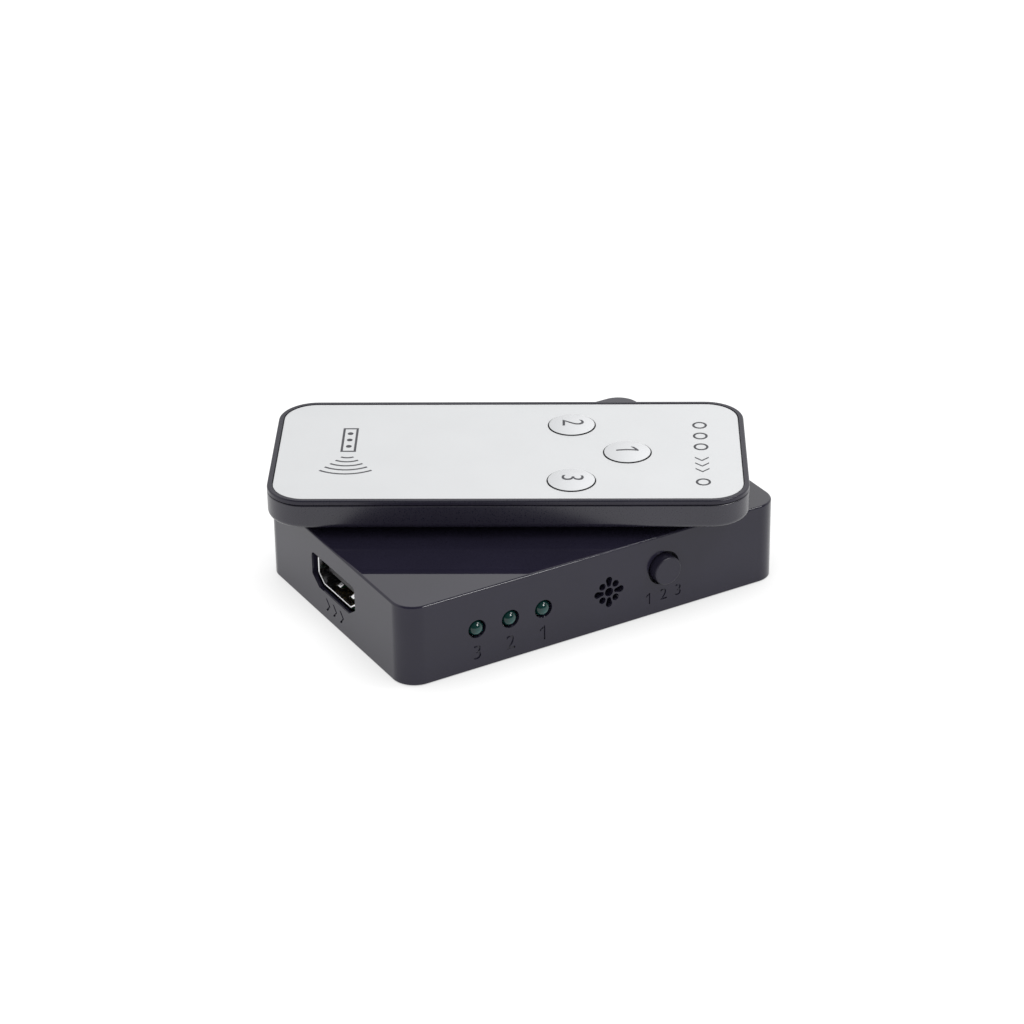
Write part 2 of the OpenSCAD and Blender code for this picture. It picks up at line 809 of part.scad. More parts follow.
// Half outline of the lower shell's edge: flat foot, slope, rounded lower edge, upright side
module side_profile(reach) {
    lower_edge = reach - remote_edge_in;
    union() {
        polygon([
            [0, 0], [lower_edge - remote_slope, 0], [lower_edge, remote_edge_z],
            [lower_edge, side_z], [0, side_z],
        ]);
        intersection() {
            translate([reach - remote_side_r, side_z]) circle(remote_side_r);
            translate([lower_edge, remote_edge_z])
                square([remote_edge_in, side_z - remote_edge_z]);
        }
        translate([0, side_z]) edge_profile(reach, seam_z - side_z, seam_r);
    }
}

// Outer form of the remote below the seam
module remote_body() {
    swept_slab(remote_l, remote_w, seam_z, remote_corner_r) side_profile(remote_corner_r);
}

// Hollow of the lower shell, which follows the outer form in straight lines
module remote_hollow() {
    r = remote_inner_r;
    h = seam_z;
    lower_edge = r - remote_edge_in;
    translate([0, 0, remote_floor]) swept_slab(remote_inner_l, remote_inner_w, h, r) polygon([
        [0, 0], [lower_edge - remote_slope, 0], [lower_edge, remote_edge_z],
        [r, side_z], [r, h], [0, h],
    ]);
}

// Opening in the end for the tray, cut down through the lower edge at the very end
module tray_opening(w, nose, side) {
    top = tray_top + side;
    translate([-remote_l / 2 - cut, -w / 2, remote_floor])
        cube([margin + 2 * cut, w, top - remote_floor]);
    translate([-remote_l / 2 - cut, -w / 2, -cut]) cube([nose + cut, w, top + cut]);
}

// Lower shell of the remote: tray slot in one end, rails beside the tray, rests for the board
module remote_lower_shell() {
    slot_w = tray_w + 2 * tray_gap;
    foot_z = remote_floor - bite;
    rest_h = remote_board_under - foot_z;
    color("#3a393d") on_roof() difference() {
        union() {
            difference() {
                remote_body();
                remote_hollow();
            }
            for (s = [-1, 1])
                translate([rail_start, s * (slot_w + rail_t) / 2 - rail_t / 2, foot_z])
                    cube([rail_l, rail_t, rest_h]);
            for (s = [-1, 1]) translate([rest_u, s * remote_board_w / 3 - rail_t / 2, foot_z])
                cube([leaf_l, rail_t, rest_h]);
        }
        tray_opening(slot_w, tray_nose, tray_gap);
        translate([remote_l / 2 - margin, 0, sender_z]) rotate([0, 90, 0])
            cylinder(h = margin + cut, r = sender_r + sender_gap);
    }
}

// Upper frame: dark rim round the face, shelf under it and a skirt inside the lower shell
module remote_upper_frame() {
    skirt_l = remote_inner_l - 2 * skirt_gap;
    skirt_w = remote_inner_w - 2 * skirt_gap;
    skirt_r = remote_inner_r - skirt_gap;
    color("#35343a") on_roof() difference() {
        union() {
            translate([0, 0, seam_z + seam_gap]) slab(
                remote_l, remote_w, frame_h - seam_gap, remote_corner_r, frame_edge_r);
            translate([0, 0, seam_z]) slab(remote_l - 2 * seam_in, remote_w - 2 * seam_in,
                                           seam_gap + bite, remote_corner_r - seam_in);
            translate([0, 0, seam_z - skirt_h]) difference() {
                slab(skirt_l, skirt_w, skirt_h + bite, skirt_r);
                translate([0, 0, -cut]) slab(skirt_l - 2 * skirt_t, skirt_w - 2 * skirt_t,
                                             skirt_h + cut, skirt_r - skirt_t);
            }
        }
        translate([0, 0, shelf_z]) slab(remote_l - 2 * frame_rim, remote_w - 2 * frame_rim,
                                        frame_h, remote_corner_r - frame_rim);
        for (key = KEYS) translate([key[0], key[1], seam_z - cut])
            cylinder(h = frame_h + cut, r = key_hole_r);
    }
}

// Silver face plate with three round openings
module remote_face() {
    inset = frame_rim + face_gap;
    color("#dfe1e2") on_roof() difference() {
        translate([0, 0, shelf_z])
            slab(remote_l - 2 * inset, remote_w - 2 * inset, face_t, remote_corner_r - inset);
        for (key = KEYS) translate([key[0], key[1], shelf_z - cut])
            cylinder(h = face_t + 2 * cut, r = key_hole_r);
    }
}

// Key: crowned round cap above the face, flange under the frame
module key(i) {
    flange_z = key_flange_top - key_flange_t;
    color("#e9eaec") on_roof() translate([KEYS[i][0], KEYS[i][1], 0]) union() {
        translate([0, 0, flange_z]) cylinder(h = key_flange_t, r = key_flange_r);
        rotate_extrude() intersection() {
            translate([0, flange_z]) square([key_r, key_edge_z + key_crown + cut - flange_z]);
            translate([0, key_edge_z + key_crown - key_crown_r])
                circle(key_crown_r, $fn = crown_fn);
        }
    }
}

module key_1() { key(0); }
module key_2() { key(1); }
module key_3() { key(2); }

// Snap dome: pressed steel cap between the board and the key
module snap_dome(i) {
    outer_r = (dome_r * dome_r + dome_h * dome_h) / (2 * dome_h);
    color("#b9babd") on_roof()
        translate([KEYS[i][0], KEYS[i][1], remote_board_top])
            rotate_extrude() intersection() {
                square([dome_r, dome_h]);
                translate([0, dome_h - outer_r]) difference() {
                    circle(outer_r, $fn = crown_fn);
                    circle(outer_r - dome_sheet, $fn = crown_fn);
                }
            }
}

module snap_dome_1() { snap_dome(0); }
module snap_dome_2() { snap_dome(1); }
module snap_dome_3() { snap_dome(2); }

// Remote's circuit board, on the rails and rests
module remote_board() {
    color("#23603f") on_roof() translate([0, 0, remote_board_under])
        slab(remote_inner_l - 2 * remote_board_gap, remote_board_w, remote_board_t,
             remote_inner_r - remote_board_gap);
}

// Encoder chip of the remote
module remote_chip() {
    color("#222226") on_roof()
        translate([remote_chip_at[0], remote_chip_at[1], remote_board_top])
            leaded_chip(remote_chip_size, remote_lead_pitch, false);
}

// Infrared sender: lens in the end wall, body and leads under the board
module remote_ir_led() {
    tip = remote_l / 2 - sender_set;
    base = tip - sender_l;
    lead_l = remote_board_under - sender_z;
    color("#4a4258") on_roof() union() {
        translate([base, 0, sender_z]) rotate([0, 90, 0]) cylinder(h = sender_l - sender_r, r = sender_r);
        translate([tip - sender_r, 0, sender_z]) intersection() {
            sphere(sender_r);
            rotate([0, 90, 0]) cylinder(h = sender_r + cut, r = sender_r + cut);
        }
        for (s = [-1, 1]) translate([base - sender_bend, s * lead_spread / 2 - lead_w / 2,
                                     sender_z - lead_w / 2]) {
            cube([sender_bend + bite, lead_w, lead_w]);
            cube([lead_w, lead_w, lead_l + lead_w / 2]);
        }
    }
}

// Battery tray: slides out of the end, its nose follows the shell
module battery_tray() {
    pocket_h = tray_top - cell_z;
    notch_w = leaf_w + 2 * tray_gap;
    color("#3a393d") on_roof() difference() {
        intersection() {
            remote_body();
            union() {
                translate([-remote_l / 2 - cut, -tray_w / 2, tray_z])
                    cube([tray_l + cut, tray_w, tray_top - tray_z]);
                translate([-remote_l / 2 - cut, -tray_w / 2, -cut])
                    cube([tray_nose - tray_gap + cut, tray_w, tray_top + cut]);
            }
        }
        translate([cell_u, 0, cell_z]) cylinder(h = pocket_h + cut, r = cell_r + cell_gap);
        translate([cell_u, -notch_w / 2, cell_z]) cube([tray_l, notch_w, pocket_h + cut]);
    }
}

// Coin cell with the stepped edge of its lid
module coin_cell() {
    lid_step = 0.4;
    lid_inset = 1.2;
    color("#c4c5c8") on_roof() translate([cell_u, 0, cell_z]) union() {
        cylinder(h = cell_t - lid_step, r = cell_r);
        cylinder(h = cell_t, r = cell_r - lid_inset);
    }
}

// Two leaf contacts under the remote's board: one above the cell, one at its side
module battery_contacts() {
    foot_u = cell_u + cell_r + leaf_side_gap;
    leaf_z = tray_top + leaf_gap;
    color("#c9b27a") on_roof() {
        translate([cell_u - leaf_l / 2, -leaf_w / 2, leaf_z]) {
            cube([leaf_l, leaf_w, leaf_t]);
            cube([leaf_t, leaf_w, remote_board_under - leaf_z]);
        }
        translate([foot_u, -leaf_w / 2, cell_z + tray_gap])
            cube([leaf_t, leaf_w, remote_board_under - cell_z - tray_gap]);
    }
}

module hdmi_output_shell() { at_output() socket_shell(); }
module hdmi_output_insert() { at_output() socket_insert(); }
module hdmi_output_contacts() { at_output() socket_contacts(); }
module hdmi_input_1_shell() { at_input(0) socket_shell(); }
module hdmi_input_1_insert() { at_input(0) socket_insert(); }
module hdmi_input_1_contacts() { at_input(0) socket_contacts(); }
module hdmi_input_2_shell() { at_input(1) socket_shell(); }
module hdmi_input_2_insert() { at_input(1) socket_insert(); }
module hdmi_input_2_contacts() { at_input(1) socket_contacts(); }
module hdmi_input_3_shell() { at_input(2) socket_shell(); }
module hdmi_input_3_insert() { at_input(2) socket_insert(); }
module hdmi_input_3_contacts() { at_input(2) socket_contacts(); }

top_cover();
bottom_cover();
cover_screws();
main_board();
hdmi_output_shell();
hdmi_output_insert();
hdmi_output_contacts();
hdmi_input_1_shell();
hdmi_input_1_insert();
hdmi_input_1_contacts();
hdmi_input_2_shell();
hdmi_input_2_insert();
hdmi_input_2_contacts();
hdmi_input_3_shell();
hdmi_input_3_insert();
hdmi_input_3_contacts();
switch_chip();
control_chip();
voltage_regulator();
chip_capacitors();
indicator_led_1();
indicator_led_2();
indicator_led_3();
ir_receiver();
tact_switch();
tact_plunger();
select_button();
supply_inlet();
supply_pin();
remote_lower_shell();
remote_upper_frame();
remote_face();
remote_board();
remote_chip();
remote_ir_led();
key_1();
key_2();
key_3();
snap_dome_1();
snap_dome_2();
snap_dome_3();
battery_tray();
coin_cell();
battery_contacts();
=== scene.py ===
"""Video switch box with its card remote lying across the roof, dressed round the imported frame."""

import json
import math

import bmesh
import bpy
from mathutils import Matrix, Vector


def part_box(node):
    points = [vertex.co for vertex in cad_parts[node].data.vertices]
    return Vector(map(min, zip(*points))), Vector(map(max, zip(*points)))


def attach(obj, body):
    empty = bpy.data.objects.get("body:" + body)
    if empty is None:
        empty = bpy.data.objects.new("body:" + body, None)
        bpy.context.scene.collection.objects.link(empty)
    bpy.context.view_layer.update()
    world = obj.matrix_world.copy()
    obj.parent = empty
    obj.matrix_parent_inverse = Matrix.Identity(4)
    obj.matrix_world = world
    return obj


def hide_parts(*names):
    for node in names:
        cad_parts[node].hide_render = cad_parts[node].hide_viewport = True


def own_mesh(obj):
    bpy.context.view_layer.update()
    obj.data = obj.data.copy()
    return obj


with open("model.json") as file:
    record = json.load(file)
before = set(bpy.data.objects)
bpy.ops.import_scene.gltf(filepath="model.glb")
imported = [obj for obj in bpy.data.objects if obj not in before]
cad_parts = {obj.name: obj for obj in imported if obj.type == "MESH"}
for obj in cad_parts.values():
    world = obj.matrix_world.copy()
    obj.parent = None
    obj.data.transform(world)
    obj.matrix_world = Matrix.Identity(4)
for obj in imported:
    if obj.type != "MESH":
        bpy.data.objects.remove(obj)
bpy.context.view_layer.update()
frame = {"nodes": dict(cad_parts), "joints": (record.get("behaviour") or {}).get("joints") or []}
nodes = frame["nodes"]

# Box tub
# Roof and four walls are one injection moulding in near-black plastic, with numerals sunk in the front
# and arrow heads in the left wall. The polished roof mirrors the remote; the walls have a satin grain.
MM = 0.001
UP = Vector((0, 0, 1))
CASE_TONE = (0.0165, 0.0148, 0.028)
CASE_IOR = 1.4
WALL_ROUGH = (0.11, 0.16)
ROOF_IOR = 1.56
ROOF_ROUGH = (0.02, 0.04)
ROOF_TILT = 0.95
ROOF_BAND = 0.1 * MM
NOISE_SPAN = (0.3, 0.7)
CLOUD_SCALE = 90
CLOUD_DETAIL = 3
CLOUD_SHARE = 0.08
GRAIN_SCALE = 5200
GRAIN_DETAIL = 2
GRAIN_DEPTH = 0.0003 * MM
SHARP = math.radians(32)
LEVEL = 0.99995
MERGE_REACH = 0.0005 * MM
LETTER_STEPS = 4


def link_new_object(name, data):
    """A new object in the scene; a mesh keeps its place in its vertices."""
    thing = bpy.data.objects.new(name, data)
    bpy.context.scene.collection.objects.link(thing)
    return thing


def mapped(tree, value, span, levels, kind="LINEAR"):
    """Carries a span of values over to other levels."""
    change = tree.nodes.new("ShaderNodeMapRange")
    change.interpolation_type = kind
    change.inputs["From Min"].default_value = span[0]
    change.inputs["From Max"].default_value = span[1]
    change.inputs["To Min"].default_value = levels[0]
    change.inputs["To Max"].default_value = levels[1]
    tree.links.new(value, change.inputs["Value"])
    return change.outputs["Result"]


def noise_source(tree, scale, detail, stretch=(1, 1, 1)):
    """Noise on the piece's own coordinates, drawn out along an axis where the finish is brushed."""
    place = tree.nodes.new("ShaderNodeTexCoord")
    turn = tree.nodes.new("ShaderNodeMapping")
    turn.inputs["Scale"].default_value = stretch
    noise = tree.nodes.new("ShaderNodeTexNoise")
    noise.inputs["Scale"].default_value = scale
    noise.inputs["Detail"].default_value = detail
    tree.links.new(place.outputs["Object"], turn.inputs["Vector"])
    tree.links.new(turn.outputs["Vector"], noise.inputs["Vector"])
    return noise.outputs["Fac"]


def spread_tone(tree, noise, tone, share, target):
    """Sends the noise to a colour socket as shades a little under and over the tone."""
    ramp = tree.nodes.new("ShaderNodeValToRGB")
    for stop, place, side in zip(ramp.color_ramp.elements, NOISE_SPAN, (-1, 1)):
        stop.position = place
        stop.color = [part * (1 + side * share) for part in tone] + [1]
    tree.links.new(noise, ramp.inputs["Fac"])
    tree.links.new(ramp.outputs["Color"], target)


def relief(tree, noise, depth, shader):
    """Turns the noise into a fine relief of that depth."""
    bump = tree.nodes.new("ShaderNodeBump")
    bump.inputs["Distance"].default_value = depth
    tree.links.new(noise, bump.inputs["Height"])
    tree.links.new(bump.outputs["Normal"], shader.inputs["Normal"])


def surface(name, tone, rough, grain=GRAIN_SCALE, depth=GRAIN_DEPTH, metal=0.0, share=CLOUD_SHARE,
            stretch=(1, 1, 1), ior=CASE_IOR):
    """A finish whose colour clouds slightly and whose roughness and relief follow one grain."""
    material = bpy.data.materials.new(name)
    material.use_nodes = True
    tree = material.node_tree
    shader = tree.nodes["Principled BSDF"]
    shader.inputs["Metallic"].default_value = metal
    shader.inputs["IOR"].default_value = ior
    clouds = noise_source(tree, CLOUD_SCALE, CLOUD_DETAIL)
    grains = noise_source(tree, grain, GRAIN_DETAIL, stretch)
    spread_tone(tree, clouds, tone, share, shader.inputs["Base Color"])
    tree.links.new(mapped(tree, grains, NOISE_SPAN, rough), shader.inputs["Roughness"])
    if depth > 0:
        relief(tree, grains, depth, shader)
    return material


def coat(piece, *finishes):
    """Gives an object these finishes and no others."""
    piece.data.materials.clear()
    for finish in finishes:
        piece.data.materials.append(finish)


def dress(node, finish):
    """Gives a node of the frame its finish."""
    coat(nodes[node], finish)


def middle(node):
    """Centre of a node's box."""
    low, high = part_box(node)
    return (low + high) / 2


def plain_mesh(thing):
    """An object's final shape as a mesh; the object itself goes."""
    mesh = bpy.data.meshes.new_from_object(thing.evaluated_get(bpy.context.evaluated_depsgraph_get()))
    bpy.data.objects.remove(thing)
    return mesh


def prism(outline, thickness):
    """Flat outline in XY as a closed solid, centred in thickness on the XY plane."""
    mesh = bpy.data.meshes.new("prism")
    form = bmesh.new()
    lower = [form.verts.new((x, y, -thickness / 2)) for x, y in outline]
    upper = [form.verts.new((x, y, thickness / 2)) for x, y in outline]
    form.faces.new(list(reversed(lower)))
    form.faces.new(upper)
    for i in range(len(outline)):
        j = (i + 1) % len(outline)
        form.faces.new((lower[i], lower[j], upper[j], upper[i]))
    bmesh.ops.recalc_face_normals(form, faces=form.faces)
    form.to_mesh(mesh)
    form.free()
    return mesh


def letters(text, size, thickness, slim):
    """Plain sans lettering as a mesh, centred on the origin, its strokes slimmed by a margin."""
    curve = bpy.data.curves.new("lettering", "FONT")
    curve.body = text
    curve.size = size
    curve.align_x = "CENTER"
    curve.align_y = "CENTER"
    curve.extrude = thickness / 2
    curve.offset = -slim
    curve.resolution_u = LETTER_STEPS
    mesh = plain_mesh(link_new_object("lettering", curve))
    bpy.data.curves.remove(curve)
    return mesh


ONE_HALF = 0.35
ONE_STEM = 0.075
ONE_FLAG = 0.19
FLAG_FALL = 0.8
FLAG_TIP = 1.25
FLAG_ROOT = 1.35


def numeral(number, size, thickness, slim=0.0):
    """A numeral as a mesh; the one is drawn with a flag, in shares of the size."""
    if number != 1:
        return letters(str(number), size, thickness, slim)
    top = ONE_HALF * size
    stem = ONE_STEM * size
    flag = ONE_FLAG * size
    tip = top - FLAG_FALL * flag
    return prism([(0, -top), (stem, -top), (stem, top), (0, top), (-flag, tip),
                  (-flag, tip - FLAG_TIP * stem), (0, top - FLAG_ROOT * stem)], thickness)


def chevron(size, line):
    """Open arrow head that points along +X."""
    half = size / 2
    back = -half / 2
    tip = half / 2
    outer = [(back, half), (tip, 0), (back, -half)]
    inner = [(back + line, -half), (tip + line, 0), (back + line, half)]
    return outer + inner


def placed(mesh, right, up, centre):
    """Lays a flat mesh in the plane of right and up, about a centre."""
    out = right.cross(up)
    turn = Matrix((right, up, out)).transposed().to_4x4()
    mesh.transform(Matrix.Translation(centre) @ turn)
    return mesh


def joined(name, meshes):
    """Several meshes as one."""
    form = bmesh.new()
    for mesh in meshes:
        form.from_mesh(mesh)
    whole = bpy.data.meshes.new(name)
    form.to_mesh(whole)
    form.free()
    return whole


def merged_copy(node):
    """The node's mesh with its doubled vertices merged."""
    form = bmesh.new()
    form.from_mesh(nodes[node].data)
    bmesh.ops.remove_doubles(form, verts=form.verts, dist=MERGE_REACH)
    mesh = bpy.data.meshes.new(node + "_copy")
    form.to_mesh(mesh)
    form.free()
    return mesh


def soften(mesh):
    """Shades a mesh smooth, up to its sharp edges."""
    mesh.shade_smooth()
    mesh.set_sharp_from_angle(angle=SHARP)


def level_planes(mesh):
    """Shades the flat walls flat up to their edges; fillets run smoothly into them."""
    shading = [Vector(corner.vector) for corner in mesh.corner_normals]
    level = [max(abs(part) for part in face.normal) > LEVEL for face in mesh.polygons]
    walls_at = {}
    for face in mesh.polygons:
        if level[face.index]:
            for vertex in face.vertices:
                walls_at.setdefault(vertex, []).append(face.normal.copy())
    for face in mesh.polygons:
        for corner in face.loop_indices:
            if level[face.index]:
                shading[corner] = face.normal.copy()
                continue
            for wall in walls_at.get(mesh.loops[corner].vertex_index, []):
                if wall.dot(face.normal) > math.cos(SHARP):
                    shading[corner] = wall
    mesh.normals_split_custom_set(shading)


def cut_into(name, mesh, cutter_mesh):
    """A new object: the mesh with the cutter taken out of it, shaded smooth over its fillets."""
    blank = link_new_object("blank", mesh)
    cutter = link_new_object("cutter", cutter_mesh)
    cut = blank.modifiers.new("cut", "BOOLEAN")
    cut.operation = "DIFFERENCE"
    cut.solver = "EXACT"
    cut.object = cutter
    result = plain_mesh(blank)
    bpy.data.objects.remove(cutter)
    soften(result)
    level_planes(result)
    return link_new_object(name, result)


ENGRAVE_DEPTH = 0.22 * MM
LAMP_FLANGE_R = 1.9 * MM
LAMP_NUMERAL = 4.0 * MM
LAMP_DROP = 4.8 * MM
SELECT_NUMERAL = 3.2 * MM
SELECT_DROP = 5.45 * MM
SELECT_PITCH = 3.1 * MM
OUTPUT_HEAD = 2.4 * MM
OUTPUT_LINE = 0.55 * MM
OUTPUT_DROP = 5.4 * MM
OUTPUT_PITCH = 2.6 * MM

tub_low, tub_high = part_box("top_cover")
right_on_front = Vector((1, 0, 0))
right_on_left_wall = Vector((0, -1, 0))
button_spot = middle("select_button")
output_spot = middle("hdmi_output_insert")


def lens_centre(number):
    """Middle of an indicator's lens, under the top of its round flange."""
    node = f"indicator_led_{number}"
    centre = middle(node)
    centre.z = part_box(node)[1].z - LAMP_FLANGE_R
    return centre


engravings = []
for number in (1, 2, 3):
    lens = lens_centre(number)
    below_lamp = Vector((lens.x, tub_low.y, lens.z - LAMP_DROP))
    lamp_mark = numeral(number, LAMP_NUMERAL, 2 * ENGRAVE_DEPTH)
    engravings.append(placed(lamp_mark, right_on_front, UP, below_lamp))
for step, number in ((-1, 1), (0, 2), (1, 3)):
    below_button = Vector((button_spot.x + step * SELECT_PITCH, tub_low.y, button_spot.z - SELECT_DROP))
    select_mark = numeral(number, SELECT_NUMERAL, 2 * ENGRAVE_DEPTH)
    engravings.append(placed(select_mark, right_on_front, UP, below_button))
for step in (-1, 0, 1):
    below_socket = Vector((tub_low.x, output_spot.y - step * OUTPUT_PITCH, output_spot.z - OUTPUT_DROP))
    output_mark = prism(chevron(OUTPUT_HEAD, OUTPUT_LINE), 2 * ENGRAVE_DEPTH)
    engravings.append(placed(output_mark, right_on_left_wall, UP, below_socket))

tub = cut_into("box_tub", merged_copy("top_cover"), joined("engravings", engravings))
wall_finish = surface("case_satin_wall", CASE_TONE, WALL_ROUGH)
roof_finish = surface("case_polished_roof", CASE_TONE, ROOF_ROUGH, depth=0, ior=ROOF_IOR)
coat(tub, wall_finish, roof_finish)
for face in tub.data.polygons:
    on_roof = face.normal.z > ROOF_TILT and face.center.z > tub_high.z - ROOF_BAND
    face.material_index = 1 if on_roof else 0
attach(tub, "box")
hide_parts("top_cover")

# Bottom cover and its screws
# A flat moulded plate in the same plastic, duller than the walls, held by four zinc-plated
# self-tapping screws that also clamp the board.
COVER_ROUGH = (0.4, 0.5)
COVER_GRAIN_DEPTH = 0.003 * MM
ZINC_TONE = (0.42, 0.42, 0.44)
ZINC_ROUGH = (0.25, 0.4)
ZINC_GRAIN = 900
dress("bottom_cover", surface("cover_matt", CASE_TONE, COVER_ROUGH, depth=COVER_GRAIN_DEPTH))
dress("cover_screws", surface("screw_zinc", ZINC_TONE, ZINC_ROUGH, grain=ZINC_GRAIN, metal=1))

# Circuit boards and chips
# Glass-epoxy boards under green solder mask, one in the box and one in the remote, with moulded chips,
# a push switch and ceramic capacitors soldered on. The casings hide almost all of it.
MASK_TONE = (0.015, 0.12, 0.05)
MASK_ROUGH = (0.25, 0.35)
MASK_GRAIN = 1500
MASK_SHARE = 0.2
CHIP_TONE = (0.018, 0.018, 0.02)
CHIP_ROUGH = (0.45, 0.6)
CHIP_GRAIN_DEPTH = 0.006 * MM
CERAMIC_TONE = (0.33, 0.22, 0.12)
CERAMIC_ROUGH = (0.4, 0.55)
CERAMIC_GRAIN = 2000
CERAMIC_SHARE = 0.2
mask_finish = surface("solder_mask", MASK_TONE, MASK_ROUGH, grain=MASK_GRAIN, share=MASK_SHARE)
chip_finish = surface("chip_mould", CHIP_TONE, CHIP_ROUGH, depth=CHIP_GRAIN_DEPTH)
ceramic_finish = surface("capacitor_ceramic", CERAMIC_TONE, CERAMIC_ROUGH, grain=CERAMIC_GRAIN,
                         share=CERAMIC_SHARE)
for board in ("main_board", "remote_board"):
    dress(board, mask_finish)
for chip in ("switch_chip", "control_chip", "voltage_regulator", "tact_switch", "remote_chip"):
    dress(chip, chip_finish)
dress("chip_capacitors", ceramic_finish)

# Video sockets
# Each is a folded shell of tin-plated steel round a black insert; the insert's tongue carries
# nineteen gold-flashed contacts. One faces left, three face the back.
SHELL_TONE = (0.82, 0.82, 0.83)
SHELL_ROUGH = (0.12, 0.2)
SHELL_GRAIN = 700
SHELL_STRETCH = (1, 1, 6)
SHELL_EDGE = 0.13 * MM
EDGE_STEPS = 2
EDGE_TURN = math.radians(50)
INSERT_TONE = (0.011, 0.011, 0.013)
INSERT_ROUGH = (0.35, 0.5)
GOLD_TONE = (0.78, 0.55, 0.2)
GOLD_ROUGH = (0.18, 0.3)
GOLD_GRAIN = 1500
shell_finish = surface("tinned_steel", SHELL_TONE, SHELL_ROUGH, grain=SHELL_GRAIN, metal=1,
                       stretch=SHELL_STRETCH)
insert_finish = surface("insert_black", INSERT_TONE, INSERT_ROUGH)
contact_finish = surface("gold_flash", GOLD_TONE, GOLD_ROUGH, grain=GOLD_GRAIN, metal=1)


def round_edges(node, width):
    """Rounds a node's sheet edges so that they catch the light."""
    weld = nodes[node].modifiers.new("weld", "WELD")
    weld.merge_threshold = MERGE_REACH
    bevel = nodes[node].modifiers.new("round", "BEVEL")
    bevel.width = width
    bevel.segments = EDGE_STEPS
    bevel.limit_method = "ANGLE"
    bevel.angle_limit = EDGE_TURN


for socket in ("hdmi_output", "hdmi_input_1", "hdmi_input_2", "hdmi_input_3"):
    dress(socket + "_shell", shell_finish)
    round_edges(socket + "_shell", SHELL_EDGE)
    dress(socket + "_insert", insert_finish)
    dress(socket + "_contacts", contact_finish)

# Indicators
# Three round lamps cast in clear dark green resin, pushed through the front from behind.
# They are unlit, so the resin shows deep green with one bright highlight and a paler pool of painted
# light low in the lens.
# The paler tones are painted light, a pool painted low in each lens; the deep green is the resin's own.
RESIN_DARK = (0.003, 0.027, 0.0245)
RESIN_PAINTED_GLOW_EDGE = (0.003, 0.045, 0.041)
RESIN_PAINTED_GLOW = (0.004, 0.07, 0.064)
PAINTED_GLOW_EDGE_AT = 0.45
RESIN_IOR = 1.47
RESIN_ROUGH = (0.03, 0.07)
RESIN_GRAIN = 900
PAINTED_GLOW_REACH = 1.25 * MM
PAINTED_GLOW_OFFSET = Vector((0.15, 0, -0.5)) * MM


def resin(name, centre):
    """Clear resin with a pool of painted light low in the lens, about a centre."""
    material = bpy.data.materials.new(name)
    material.use_nodes = True
    tree = material.node_tree
    shader = tree.nodes["Principled BSDF"]
    shader.inputs["IOR"].default_value = RESIN_IOR
    # Painted light: a paler green pool in the base colour, centred low in the lens.
    glow_centre = (centre + PAINTED_GLOW_OFFSET) / PAINTED_GLOW_REACH
    place = tree.nodes.new("ShaderNodeTexCoord")
    turn = tree.nodes.new("ShaderNodeMapping")
    turn.inputs["Scale"].default_value = (1 / PAINTED_GLOW_REACH, 0, 1 / PAINTED_GLOW_REACH)
    turn.inputs["Location"].default_value = (-glow_centre.x, 0, -glow_centre.z)
    painted_glow = tree.nodes.new("ShaderNodeTexGradient")
    painted_glow.gradient_type = "SPHERICAL"
    ramp = tree.nodes.new("ShaderNodeValToRGB")
    ramp.color_ramp.elements[0].color = (*RESIN_DARK, 1)
    ramp.color_ramp.elements[1].color = (*RESIN_PAINTED_GLOW, 1)
    ramp.color_ramp.elements.new(PAINTED_GLOW_EDGE_AT).color = (*RESIN_PAINTED_GLOW_EDGE, 1)
    tree.links.new(place.outputs["Object"], turn.inputs["Vector"])
    tree.links.new(turn.outputs["Vector"], painted_glow.inputs["Vector"])
    tree.links.new(painted_glow.outputs["Fac"], ramp.inputs["Fac"])
    tree.links.new(ramp.outputs["Color"], shader.inputs["Base Color"])
    grains = noise_source(tree, RESIN_GRAIN, GRAIN_DETAIL)
    tree.links.new(mapped(tree, grains, NOISE_SPAN, RESIN_ROUGH), shader.inputs["Roughness"])
    return material


for number in (1, 2, 3):
    dress(f"indicator_led_{number}", resin(f"indicator_resin_{number}", lens_centre(number)))

# Infrared receiver
# A block of dark filter resin with a round lens, moulded in one over the sensor. It is soldered to
# the board behind the sunburst grille and looks out through it.
FILTER_TONE = (0.008, 0.007, 0.011)
FILTER_ROUGH = (0.1, 0.2)
FILTER_GRAIN = 1200
dress("ir_receiver", surface("filter_resin", FILTER_TONE, FILTER_ROUGH, grain=FILTER_GRAIN))

# Select button
# A round cap in the same plastic as the walls, with a crisp rim and a flange that keeps it behind
# the front. It pushes a switch's plunger.
CAP_R = 2.7 * MM
CAP_RIM = 0.28 * MM
CAP_FLANGE = 0.8 * MM
CAP_ROUGH = (0.32, 0.38)
RIM_STEPS = 4
TURN_STEPS = 72


def turned_about_y(profile, centre, steps):
    """A closed solid of revolution; the profile gives radius and depth from axis to axis."""
    mesh = bpy.data.meshes.new("turned")
    form = bmesh.new()
    line = [form.verts.new((centre.x + radius, depth, centre.z)) for radius, depth in profile]
    edges = [form.edges.new(pair) for pair in zip(line, line[1:])]
    bmesh.ops.spin(form, geom=line + edges, cent=centre, axis=(0, 1, 0), angle=math.tau, steps=steps)
    bmesh.ops.remove_doubles(form, verts=form.verts, dist=MERGE_REACH)
    bmesh.ops.recalc_face_normals(form, faces=form.faces)
    form.to_mesh(mesh)
    form.free()
    return mesh


